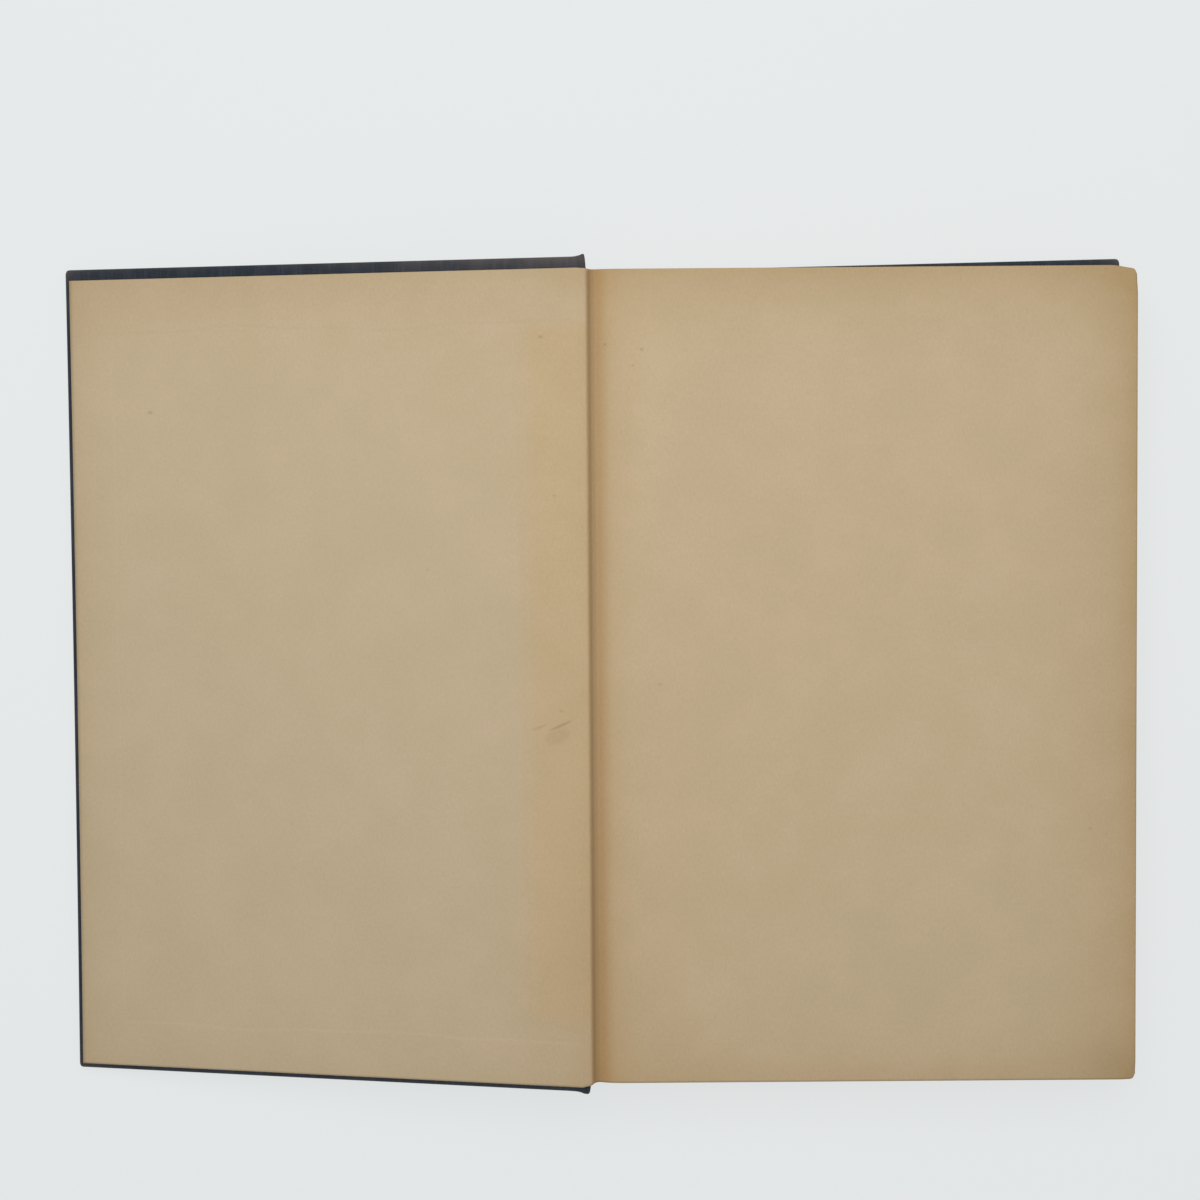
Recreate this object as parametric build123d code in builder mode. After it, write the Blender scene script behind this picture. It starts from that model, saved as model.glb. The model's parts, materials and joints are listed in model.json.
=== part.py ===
"""A cloth-cased hardback book, lying on its back cover with the front cover opened flat.

Frame: +X runs from the spine to the fore-edge of the pages, +Y to the head, +Z up.
The origin lies under the middle of the opened book, on the surface that it rests on.

The pages are one block with a rounded spine and a hollow fore-edge. The case is two boards
and a spine strip, held together by one sheet of book cloth. The cloth, the gauze lining and
both endpapers cross the two joints, so each of them is made here as the stretch that stays
with the pages and the stretch that swings with its cover, parted at the fold.
"""

import os
from math import asin, atan2, cos, degrees, hypot, radians, sin

from build123d import *

os.makedirs("parts", exist_ok=True)

# Pages
page_width = 152.4
page_height = 228.6
leaf_stack = 21.6
page_corner_radius = 1.2
spine_round = 3.5
fore_edge_hollow = 2.4
gutter_dip = 1.0
gutter_reach = 6.6

# Sheets
endpaper = 0.2
cloth = 0.4
gauze = 0.3
leaf_gap = 0.1

# Boards and what wraps them
board_thickness = 2.6
board_corner_radius = 1.1
cloth_edge_radius = 0.6
turn_in = 14.0
gauze_inset = 14.3
gauze_flange = 18.0

# Joints
hinge_rise = 1.2
hinge_inset = 0.5
front_joint_play = 0.92
back_joint_play = 1.92
joint_tip = 0.2
joint_cloth_drop = 0.05
joint_ramp_start = 1.0
joint_ramp_run = 1.2

# Spine of the case
hollow_gap = 0.5
strip_thickness = 0.8
strip_inset = 3.0
spine_cloth_drop = 1.0

# How the case sits on the pages
head_square = 2.7
fore_edge_square = 3.6
front_cover_shift = 0.7
back_cover_shift = 0.4
back_cover_skew = 1.02
paper_inset = 1.0
paper_extra_height = 0.8
paper_shift = -0.2

# Levels in a cover, measured from its hinge line towards its inner side
paper_top = hinge_rise - leaf_gap
board_inner = paper_top - endpaper
board_outer = board_inner - board_thickness
cloth_outer = board_outer - cloth
joint_cloth_top = -joint_cloth_drop
joint_gauze_top = joint_cloth_top + gauze

# Heights above the table
back_hinge_z = -cloth_outer
block_bottom = back_hinge_z + hinge_rise
pages_bottom = block_bottom + endpaper
pages_top = pages_bottom + leaf_stack
block_top = pages_top + endpaper
front_hinge_z = block_top + hinge_rise
block_middle = (block_bottom + block_top) / 2

# The rounded spine: every layer of it is an arc about one centre, measured from the gutter
shoulder_x = hinge_inset - leaf_gap
half_chord = leaf_stack / 2 - gutter_dip
spine_radius = (half_chord**2 + spine_round**2) / (2 * spine_round)
spine_centre = (shoulder_x - spine_round + spine_radius, block_middle)
strip_radius = spine_radius + gauze + hollow_gap
spine_cloth_radius = strip_radius + strip_thickness

# A joint is as wide as the spine stands out beside the board's outer face, and some play
outer_face_height = front_hinge_z + cloth_outer - block_middle
spine_half_chord = ((spine_cloth_radius + cloth) ** 2 - outer_face_height**2) ** 0.5
spine_stands_out = spine_half_chord - spine_centre[0] + hinge_inset
front_joint_width = spine_stands_out + cloth + front_joint_play
back_joint_width = spine_stands_out + cloth + back_joint_play

# Boards and gauze follow the pages
board_height = page_height + 2 * (head_square - cloth)
board_width = page_width + fore_edge_square - cloth - hinge_inset - back_joint_width
gauze_height = page_height - 2 * gauze_inset

# The opened front cover slopes down until its rounded outer edge meets the table
front_reach = front_joint_width + board_width + cloth - cloth_edge_radius
front_depth = cloth_outer + cloth_edge_radius
front_lift = front_hinge_z - cloth_edge_radius
front_slope = asin(front_lift / hypot(front_reach, front_depth)) + atan2(front_depth, front_reach)

# The pages are set over so that the origin falls under the middle of the whole outline
cloth_corner_radius = board_corner_radius + cloth
skew = radians(back_cover_skew)
half_width = (board_width + cloth) / 2
half_height = board_height / 2 + cloth
corner_out = half_width - cloth_corner_radius
corner_up = half_height - cloth_corner_radius
back_span_x = corner_out * cos(skew) + corner_up * sin(skew) + cloth_corner_radius
back_span_y = corner_up * cos(skew) + corner_out * sin(skew) + cloth_corner_radius
right_reach = hinge_inset + back_joint_width + half_width + back_span_x
fore_edge_out = (front_joint_width + board_width + cloth) * cos(front_slope)
left_reach = fore_edge_out + board_inner * sin(front_slope) - hinge_inset
head_reach = max(front_cover_shift + half_height, back_cover_shift + back_span_y)
tail_reach = max(back_span_y - back_cover_shift, half_height - front_cover_shift)
gutter_x = (left_reach - right_reach) / 2
block_y = (tail_reach - head_reach) / 2
hinge_x = gutter_x + hinge_inset

# Each cover has two planes, with x running out from the hinge and z towards the inner side:
# one square to the hinge, for what is pasted down, and one that follows the board
front_hinge = Plane(
    origin=(hinge_x, block_y, front_hinge_z),
    x_dir=(-cos(front_slope), 0, -sin(front_slope)),
    z_dir=(-sin(front_slope), 0, cos(front_slope)),
)
back_hinge = Plane(origin=(hinge_x, block_y, back_hinge_z), x_dir=(1, 0, 0), z_dir=(0, 0, 1))


def board_plane(hinge, joint_width, shift, turn):
    """The plane of a board's middle, set towards the head by shift and turned by an angle."""
    middle = hinge.origin + hinge.x_dir * (joint_width + board_width / 2) + Vector(0, shift, 0)
    x_dir = hinge.x_dir * cos(turn) + hinge.y_dir * sin(turn)
    return Plane(origin=middle, x_dir=x_dir, z_dir=hinge.z_dir)


front_board_plane = board_plane(front_hinge, front_joint_width, front_cover_shift, 0)
back_board_plane = board_plane(back_hinge, back_joint_width, back_cover_shift, skew)


def across(hinge, length):
    """A section plane of a cover: x out from the hinge, y towards the inner side.

    It lies at one end of a piece of the given length that is centred on the pages.
    """
    end = hinge.origin + hinge.y_dir * (length / 2)
    return Plane(origin=end, x_dir=hinge.x_dir, z_dir=-hinge.y_dir)


def save(solid, label):
    """Label a finished piece and write it to its own file."""
    solid.label = label
    export_step(solid, f"parts/{label}.step")


# --- Pages and flyleaves ---------------------------------------------------------------
block_section = Plane(
    origin=(gutter_x, block_y - page_height / 2, 0), x_dir=(1, 0, 0), z_dir=(0, -1, 0)
)
flat_start = shoulder_x + gutter_reach
shoulder_angle = degrees(asin(half_chord / spine_radius))
dip_radius = (gutter_reach**2 + gutter_dip**2) / (2 * gutter_dip)
dip_angle = asin(gutter_reach / dip_radius)


def dip_point(share, side, offset=0.0):
    """A point on the curve that falls to the gutter, at a share of its length.

    Side is 1 on the top of the pages and -1 underneath; offset lifts the point off them.
    """
    radius = dip_radius + offset
    angle = dip_angle * share
    drop = dip_radius - radius * cos(angle)
    return (
        flat_start - radius * sin(angle),
        block_middle + side * (leaf_stack / 2 - drop),
    )


with BuildPart() as pages:
    with BuildSketch(block_section):
        with BuildLine():
            Line(dip_point(0, 1), (page_width, pages_top))
            ThreePointArc(
                (page_width, pages_top),
                (page_width - fore_edge_hollow, block_middle),
                (page_width, pages_bottom),
            )
            Line((page_width, pages_bottom), dip_point(0, -1))
            ThreePointArc(dip_point(0, -1), dip_point(0.5, -1), dip_point(1, -1))
            ThreePointArc(
                dip_point(1, -1),
                (shoulder_x - spine_round, block_middle),
                dip_point(1, 1),
            )
            ThreePointArc(dip_point(1, 1), dip_point(0.5, 1), dip_point(0, 1))
        make_face()
    extrude(amount=-page_height)
save(pages.part, "pages")


def make_flyleaf(side):
    """The leaf pasted along the gutter of the pages, on their top or underneath."""
    near = block_middle + side * leaf_stack / 2
    far = near + side * endpaper
    with BuildPart() as flyleaf:
        with BuildSketch(block_section):
            with BuildLine():
                Line(dip_point(0, side), (page_width, near))
                Line((page_width, near), (page_width, far))
                Line((page_width, far), dip_point(0, side, endpaper))
                ThreePointArc(
                    dip_point(0, side, endpaper),
                    dip_point(0.5, side, endpaper),
                    dip_point(1, side, endpaper),
                )
                Line(dip_point(1, side, endpaper), dip_point(1, side))
                ThreePointArc(dip_point(1, side), dip_point(0.5, side), dip_point(0, side))
            make_face()
        extrude(amount=-page_height)
        fillet(
            flyleaf.edges().filter_by(Axis.Z).group_by(Axis.X)[-1],
            radius=page_corner_radius,
        )
    return flyleaf.part


save(make_flyleaf(1), "front_flyleaf")
save(make_flyleaf(-1), "back_flyleaf")


# --- Spine -----------------------------------------------------------------------------
def spine_point(radius, angle):
    """A point round the spine's centre, at an angle in degrees above the middle."""
    return (
        spine_centre[0] - radius * cos(radians(angle)),
        spine_centre[1] + radius * sin(radians(angle)),
    )


def make_spine_layer(inner_radius, thickness, half_angle, length, middle_y):
    """A curved strip that follows the rounded spine."""
    outer_radius = inner_radius + thickness
    end = Plane(
        origin=(gutter_x, middle_y - length / 2, 0), x_dir=(1, 0, 0), z_dir=(0, -1, 0)
    )
    with BuildPart() as layer:
        with BuildSketch(end):
            with BuildLine():
                ThreePointArc(
                    spine_point(inner_radius, -half_angle),
                    spine_point(inner_radius, 0),
                    spine_point(inner_radius, half_angle),
                )
                Line(
                    spine_point(inner_radius, half_angle),
                    spine_point(outer_radius, half_angle),
                )
                ThreePointArc(
                    spine_point(outer_radius, half_angle),
                    spine_point(outer_radius, 0),
                    spine_point(outer_radius, -half_angle),
                )
                Line(
                    spine_point(outer_radius, -half_angle),
                    spine_point(inner_radius, -half_angle),
                )
            make_face()
        extrude(amount=-length)
    return layer.part


spine_cloth_reach = front_hinge_z - spine_cloth_drop - block_middle
spine_cloth_half_angle = degrees(asin(spine_cloth_reach / (spine_cloth_radius + cloth)))
strip_half_angle = spine_cloth_half_angle - degrees(strip_inset / strip_radius)
case_middle_y = block_y + (front_cover_shift + back_cover_shift) / 2

save(make_spine_layer(spine_radius, gauze, shoulder_angle, gauze_height, block_y), "spine_lining")
save(
    make_spine_layer(
        strip_radius, strip_thickness, strip_half_angle, board_height, case_middle_y
    ),
    "spine_inlay",
)
save(
    make_spine_layer(
        spine_cloth_radius,
        cloth,
        spine_cloth_half_angle,
        board_height + 2 * cloth,
        case_middle_y,
    ),
    "spine_cloth",
)


# --- Covers ----------------------------------------------------------------------------
def make_joint_sheet(hinge, low, high, thickness, far_end, length, shift):
    """A sheet from the hinge line up over a board's inner side."""
    ramp_end = joint_ramp_start + joint_ramp_run
    under = [(joint_tip, low), (joint_ramp_start, low), (ramp_end, high), (far_end, high)]
    over = [(x, y + thickness) for x, y in reversed(under)]
    end = across(hinge, length)
    with BuildPart() as sheet:
        with BuildSketch(Plane(end.origin + Vector(0, shift, 0), end.x_dir, end.z_dir)):
            with BuildLine():
                Polyline(*under, *over, close=True)
            make_face()
        extrude(amount=length)
    return sheet.part


def make_lining_flange(hinge, joint_width):
    """The gauze's flap, let into the board under the endpaper."""
    return make_joint_sheet(
        hinge,
        joint_cloth_top,
        board_inner - gauze,
        gauze,
        joint_width + gauze_flange,
        gauze_height,
        0,
    )


def make_pastedown(hinge, joint_width):
    """The half of the endpaper that is pasted to a board."""
    return make_joint_sheet(
        hinge,
        joint_gauze_top,
        board_inner,
        endpaper,
        joint_width + board_width - paper_inset,
        page_height + paper_extra_height,
        paper_shift,
    )


def make_board(hinge, plane, joint_width):
    """A board, pressed in by a turn-in's thickness at three edges and for the gauze."""
    with BuildPart() as board:
        with BuildSketch(plane.offset(board_outer)):
            RectangleRounded(board_width, board_height, board_corner_radius)
        extrude(amount=board_thickness)
        with BuildSketch(plane.offset(board_inner)):
            Rectangle(board_width, board_height)
            with Locations((-turn_in, 0)):
                Rectangle(board_width, board_height - 2 * turn_in, mode=Mode.SUBTRACT)
        extrude(amount=-cloth, mode=Mode.SUBTRACT)
        with BuildSketch(hinge.offset(board_inner)):
            Rectangle(
                2 * (joint_width + gauze_flange),
                gauze_height,
            )
        extrude(amount=-gauze, mode=Mode.SUBTRACT)
    return board.part


def plane_axis(plane):
    """The line through a plane's origin along its normal."""
    return Axis(plane.origin, plane.z_dir)


def make_cover_cloth(hinge, plane, joint_width):
    """The cloth round one board, turned in at three edges, with its stretch of the joint."""
    inner_edge = -board_width / 2
    with BuildPart() as wrap:
        with BuildSketch(plane.offset(cloth_outer)):
            RectangleRounded(
                board_width + 2 * cloth,
                board_height + 2 * cloth,
                cloth_corner_radius,
            )
        extrude(amount=board_inner - cloth_outer)
        fillet(wrap.faces().sort_by(plane_axis(plane))[0].edges(), radius=cloth_edge_radius)
        with BuildSketch(plane.offset(board_outer)):
            RectangleRounded(board_width, board_height, board_corner_radius)
        extrude(amount=board_thickness - cloth, mode=Mode.SUBTRACT)
        with BuildSketch(plane.offset(board_inner - cloth)):
            with Locations((-turn_in, 0)):
                Rectangle(board_width, board_height - 2 * turn_in)
        extrude(amount=cloth, mode=Mode.SUBTRACT)
        with BuildSketch(plane.offset(joint_cloth_top)):
            with Locations((inner_edge - cloth, 0)):
                Rectangle(2 * cloth, board_height + 2 * cloth)
        extrude(amount=board_inner - joint_cloth_top, mode=Mode.SUBTRACT)
        wall_low = hinge.to_local_coords(plane.from_local_coords((inner_edge, -corner_up, 0)))
        wall_high = hinge.to_local_coords(plane.from_local_coords((inner_edge, corner_up, 0)))
        with BuildSketch(hinge.offset(joint_cloth_top)):
            with BuildLine():
                Polyline(
                    (joint_tip, wall_low.Y),
                    (wall_low.X - cloth / 2, wall_low.Y),
                    (wall_high.X - cloth / 2, wall_high.Y),
                    (joint_tip, wall_high.Y),
                    close=True,
                )
            make_face()
        extrude(amount=-cloth)
    return wrap.part


covers = (
    ("front", front_hinge, front_board_plane, front_joint_width),
    ("back", back_hinge, back_board_plane, back_joint_width),
)
for side, hinge, plane, joint_width in covers:
    save(make_board(hinge, plane, joint_width), f"{side}_board")
    save(make_cover_cloth(hinge, plane, joint_width), f"{side}_cover_cloth")
    save(make_lining_flange(hinge, joint_width), f"{side}_lining_flange")
    save(make_pastedown(hinge, joint_width), f"{side}_pastedown")
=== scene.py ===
"""Looks of an opened hardback book: its endpapers, book cloth and leaf edges.

Everything is in metres in the row's frame: +X from the spine to the pages' fore-edge, +Y to
the head, +Z up. In the section of the book, places are given from a hinge line: across it,
along it (towards the head) and up from it. The gauze, the leaves, the cases and the spine
cloth ride with the bodies that they are on.
"""

import json
import math

import bpy
import numpy as np
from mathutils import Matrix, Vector


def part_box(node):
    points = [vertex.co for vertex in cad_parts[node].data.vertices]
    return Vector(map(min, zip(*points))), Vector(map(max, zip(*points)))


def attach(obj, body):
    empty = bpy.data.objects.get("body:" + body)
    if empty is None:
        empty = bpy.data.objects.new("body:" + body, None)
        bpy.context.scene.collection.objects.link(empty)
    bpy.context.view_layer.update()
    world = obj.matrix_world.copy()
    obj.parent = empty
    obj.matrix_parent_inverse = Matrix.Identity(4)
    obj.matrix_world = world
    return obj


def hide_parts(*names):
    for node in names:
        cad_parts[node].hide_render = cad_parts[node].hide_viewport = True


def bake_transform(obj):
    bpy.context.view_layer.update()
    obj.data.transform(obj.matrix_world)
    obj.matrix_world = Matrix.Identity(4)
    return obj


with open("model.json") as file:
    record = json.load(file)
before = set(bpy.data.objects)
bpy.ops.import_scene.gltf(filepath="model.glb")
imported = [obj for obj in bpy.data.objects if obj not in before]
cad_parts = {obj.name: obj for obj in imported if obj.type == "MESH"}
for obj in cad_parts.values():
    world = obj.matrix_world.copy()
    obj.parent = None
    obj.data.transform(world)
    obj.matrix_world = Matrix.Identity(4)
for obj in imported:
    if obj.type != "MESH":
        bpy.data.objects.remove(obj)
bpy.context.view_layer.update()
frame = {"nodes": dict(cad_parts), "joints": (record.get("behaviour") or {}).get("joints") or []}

MM = 0.001
random = np.random.default_rng(7)

# ---------------------------------------------------------------- where the CAD model lies

HINGES = {joint["name"]: np.array(joint["pos_m"]) for joint in frame["joints"]}
FRONT_HINGE = HINGES["front_cover_hinge"]
BACK_HINGE = HINGES["back_cover_hinge"]


def broad_normal(node):
    """The upward normal of a CAD node's broadest facet."""
    facet = max(frame["nodes"][node].data.polygons, key=lambda face: face.area)
    return np.array(facet.normal) * math.copysign(1, facet.normal[2])


FRONT_UP = broad_normal("front_pastedown")
FRONT_OUT = np.array((-FRONT_UP[2], 0.0, FRONT_UP[0]))
HEADWARD = np.array((0.0, 1.0, 0.0))


def front_place(across, along, up):
    """Points of the opened front cover, in its own slope, from its hinge line."""
    return (
        FRONT_HINGE
        + np.multiply.outer(across, FRONT_OUT)
        + np.multiply.outer(along, HEADWARD)
        + np.multiply.outer(up, FRONT_UP)
    )


def front_box(node):
    """Lowest and highest across, along and up of a CAD node in the front cover's slope."""
    mesh = frame["nodes"][node].data
    points = np.empty(len(mesh.vertices) * 3, np.float32)
    mesh.vertices.foreach_get("co", points)
    points = points.reshape(-1, 3) - FRONT_HINGE
    local = np.stack((points @ FRONT_OUT, points[:, 1], points @ FRONT_UP), axis=1)
    return local.min(axis=0), local.max(axis=0)


CASE_LOW, CASE_HIGH = front_box("front_cover_cloth")
BOARD_LOW, BOARD_HIGH = front_box("front_board")
PASTE_LOW, PASTE_HIGH = front_box("front_pastedown")
CLOTH = BOARD_LOW[2] - CASE_LOW[2]
BOARD_SIZE = BOARD_HIGH - BOARD_LOW

# The back board has the front board's size, so the box that it fills gives how far it is turned
back_low, back_high = (np.array(corner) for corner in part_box("back_board"))
BACK_MIDDLE = (back_low + back_high) / 2
skew_sine = 0.0
for _ in range(4):
    across_part = BOARD_SIZE[0] * math.sqrt(1 - skew_sine**2)
    skew_sine = (back_high[0] - back_low[0] - across_part) / BOARD_SIZE[1]
BACK_SKEW = math.asin(skew_sine)
BACK_JOINT = BACK_MIDDLE[0] - BACK_HINGE[0] - BOARD_SIZE[0] / 2
BACK_SHIFT = BACK_MIDDLE[1] - BACK_HINGE[1]

PAGES_LOW, PAGES_HIGH = (np.array(corner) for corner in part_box("pages"))
BLOCK_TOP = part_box("front_flyleaf")[1][2]
BLOCK_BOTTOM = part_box("back_flyleaf")[0][2]
PAGE_MIDDLE_Y = (PAGES_LOW[1] + PAGES_HIGH[1]) / 2
PAGE_HALF = (PAGES_HIGH[1] - PAGES_LOW[1]) / 2
FORE_EDGE = PAGES_HIGH[0]
STACK = PAGES_HIGH[2] - PAGES_LOW[2]
BLOCK_MIDDLE = (PAGES_LOW[2] + PAGES_HIGH[2]) / 2
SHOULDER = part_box("front_flyleaf")[0][0]


def smooth(low, high, value):
    """A soft step from 0 at low to 1 at high."""
    share = np.clip((np.asarray(value, float) - low) / (high - low), 0, 1)
    return share * share * (3 - 2 * share)


def bump_at(value, middle, width):
    """A soft hump of height 1 about middle."""
    return np.exp(-(((np.asarray(value, float) - middle) / width) ** 2))


def spread(*spans):
    """Sorted places made of (start, end, step) spans, without near-repeats."""
    places = np.concatenate([
        np.linspace(start, end, max(2, int(round((end - start) / step)) + 1))
        for start, end, step in spans
    ])
    places = np.sort(places)
    keep = np.concatenate(([True], np.diff(places) > 0.02 * MM))
    return places[keep]


# ----------------------------------------------------------------------------- mesh makers


def make_object(name, points, faces, attributes=None):
    """A smooth-shaded mesh object, with optional point attributes by name."""
    mesh = bpy.data.meshes.new(name)
    mesh.from_pydata([tuple(p) for p in points], [], [tuple(int(i) for i in f) for f in faces])
    for key, values in (attributes or {}).items():
        values = np.asarray(values, np.float32)
        if values.ndim == 2:
            layer = mesh.attributes.new(key, "FLOAT_VECTOR", "POINT")
            layer.data.foreach_set("vector", values.ravel())
        else:
            layer = mesh.attributes.new(key, "FLOAT", "POINT")
            layer.data.foreach_set("value", values.ravel())
    mesh.validate()
    mesh.polygons.foreach_set("use_smooth", np.ones(len(mesh.polygons), bool))
    made = bpy.data.objects.new(name, mesh)
    bpy.context.scene.collection.objects.link(made)
    return made


def grid_faces(rows, columns, start=0, closed=False):
    """Quads of a rows by columns lattice of points; closed joins the last column to the first."""
    i, j = np.meshgrid(np.arange(rows - 1), np.arange(columns - (not closed)), indexing="ij")
    after = (j + 1) % columns
    corners = (i * columns + j, i * columns + after, (i + 1) * columns + after, (i + 1) * columns + j)
    return np.stack([start + c.ravel() for c in corners], axis=1)


def leaf_solid(name, top, thickness, attributes):
    """A thin closed sheet under a lattice of top points, edged all round."""
    rows, columns = top.shape[:2]
    normals = np.cross(np.gradient(top, axis=0), np.gradient(top, axis=1))
    normals /= np.linalg.norm(normals, axis=2, keepdims=True)
    normals *= math.copysign(1, normals[0, 0, 2])
    points = np.concatenate((top.reshape(-1, 3), (top - normals * thickness).reshape(-1, 3)))
    faces = grid_faces(rows, columns)
    facing = np.cross(top[1, 0] - top[0, 0], top[0, 1] - top[0, 0])[2]
    if facing > 0:
        faces = faces[:, ::-1]
    count = rows * columns
    under = faces[:, ::-1] + count
    index = np.arange(count).reshape(rows, columns)
    rim = np.concatenate((index[0], index[1:, -1], index[-1, -2::-1], index[-2:0:-1, 0]))
    after = np.roll(rim, -1)
    sides = np.stack((rim, after, after + count, rim + count), axis=1)
    if facing < 0:
        sides = sides[:, ::-1]
    both = {key: np.concatenate([v.reshape(count, -1)] * 2).squeeze() for key, v in attributes.items()}
    return make_object(name, points, np.concatenate((faces, under, sides)), both)


def loft(name, loops, attributes=None, cap=None):
    """A closed solid through closed loops of points; cap lists the faces that close an end."""
    rows, columns = loops.shape[:2]
    points = loops.reshape(-1, 3)
    quads = grid_faces(rows, columns, closed=True)
    faces = [tuple(f) for f in quads]
    cap = cap or [tuple(range(columns))]
    faces += [face[::-1] for face in cap]
    faces += [tuple(i + (rows - 1) * columns for i in face) for face in cap]
    a, b, c, d = (points[quads[:, corner]] - points.mean(axis=0) for corner in range(4))
    outward = (np.cross(b - a, c - a) + np.cross(c - a, d - a)) * (a + b + c + d)
    if outward.sum() < 0:
        faces = [f[::-1] for f in faces]
    return make_object(name, points, faces, attributes)


# ------------------------------------------------------------------------------- materials


class Paint:
    """Short ways to lay out a material's nodes."""

    def __init__(self, name):
        self.material = bpy.data.materials.new(name)
        self.material.use_nodes = True
        self.tree = self.material.node_tree
        self.shader = self.tree.nodes["Principled BSDF"]

    def node(self, kind, inputs=None, **settings):
        made = self.tree.nodes.new(kind)
        for key, value in settings.items():
            setattr(made, key, value)
        for key, value in (inputs or {}).items():
            self.feed(made.inputs[key], value)
        return made

    def feed(self, socket, value):
        if isinstance(value, bpy.types.NodeSocket):
            self.tree.links.new(value, socket)
        else:
            socket.default_value = value

    def attribute(self, name, output="Fac"):
        return self.node("ShaderNodeAttribute", attribute_name=name).outputs[output]

    def math(self, operation, first, second=0.0, clamp=False):
        made = self.node("ShaderNodeMath", operation=operation, use_clamp=clamp)
        self.feed(made.inputs[0], first)
        self.feed(made.inputs[1], second)
        return made.outputs[0]

    def add(self, first, second):
        return self.math("ADD", first, second)

    def times(self, first, second):
        return self.math("MULTIPLY", first, second)

    def step(self, value, low, high, at_low=0.0, at_high=1.0):
        """A soft step of a value, from at_low to at_high."""
        made = self.node("ShaderNodeMapRange", interpolation_type="SMOOTHSTEP")
        for key, number in zip((0, 1, 2, 3, 4), (value, low, high, at_low, at_high)):
            self.feed(made.inputs[key], number)
        return made.outputs[0]

    def mix(self, share, first, second, blend_type="MIX"):
        made = self.node("ShaderNodeMix", data_type="RGBA", blend_type=blend_type)
        self.feed(made.inputs["Factor"], share)
        self.feed(made.inputs[6], first)
        self.feed(made.inputs[7], second)
        return made.outputs[2]

    def scaled(self, vector, scale):
        made = self.node("ShaderNodeMapping")
        self.feed(made.inputs["Vector"], vector)
        made.inputs["Scale"].default_value = scale
        return made.outputs[0]

    def noise(self, vector, scale, detail=3.0, roughness=0.55, distortion=0.0):
        inputs = {
            "Vector": vector, "Scale": scale, "Detail": detail,
            "Roughness": roughness, "Distortion": distortion,
        }
        return self.node("ShaderNodeTexNoise", inputs).outputs["Fac"]

    def bump(self, height, strength, distance, normal=None):
        inputs = {"Height": height, "Strength": strength, "Distance": distance}
        made = self.node("ShaderNodeBump", inputs)
        if normal is not None:
            self.feed(made.inputs["Normal"], normal)
        return made.outputs[0]

    def finish(self, colour, roughness, normal=None, specular=0.5):
        self.feed(self.shader.inputs["Base Color"], colour)
        self.feed(self.shader.inputs["Roughness"], roughness)
        self.shader.inputs["Specular IOR Level"].default_value = specular
        if normal is not None:
            self.feed(self.shader.inputs["Normal"], normal)
        return self.material


def rgb(red, green, blue):
    """An sRGB colour in 0 to 255, as the linear colour that a node holds."""
    linear = []
    for share in (red / 255, green / 255, blue / 255):
        linear.append(((share + 0.055) / 1.055) ** 2.4 if share > 0.04 else share / 12.92)
    return (*linear, 1.0)


PAPER_PALE = rgb(190, 171, 142)
PAPER_DULL = rgb(186, 168, 138)
PAPER_AGED = rgb(162, 134, 91)
# Glue's browning; its mask also paints shade in the gutter.
GLUE_STAIN_AND_SHADE = rgb(158, 118, 66)
# Soiling; on the fold it also paints shade.
GRIME_AND_SHADE = rgb(118, 98, 70)
FOXING = rgb(96, 78, 58)
SCUFFED = rgb(120, 98, 66)
# Warm tint of the gauze, and of painted bounce light by the gutter.
GAUZE_AND_BOUNCE_TINT = (1.0, 0.95, 0.85, 1.0)

# Across and along from the fold, size and depth; sizes and places on the sheet in millimetres
SPECKS = (
    (-129.0, 76.0, 0.8, 0.26), (-14.0, 95.5, 0.7, 0.24), (-10.5, 51.5, 0.6, 0.2),
    (-9.0, -8.5, 0.6, 0.16), (-47.0, 31.0, 0.5, 0.12), (-88.0, -42.0, 0.5, 0.1),
    (14.0, 92.0, 0.7, 0.24), (3.8, 93.5, 0.6, 0.22), (11.5, 87.5, 0.5, 0.2),
    (18.5, -1.5, 0.7, 0.14), (139.0, -43.0, 0.7, 0.16), (98.0, -71.0, 0.5, 0.1),
)
# Across, along, width, height, turn in degrees and depth of the rubbed place near the joint
SCUFFS = (
    (-9.3, -12.6, 3.9, 0.4, 24, 0.3),
    (-15.2, -13.1, 2.9, 0.4, 21, 0.16),
    (-10.4, -15.6, 3.9, 2.4, 26, 0.12),
)


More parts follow.
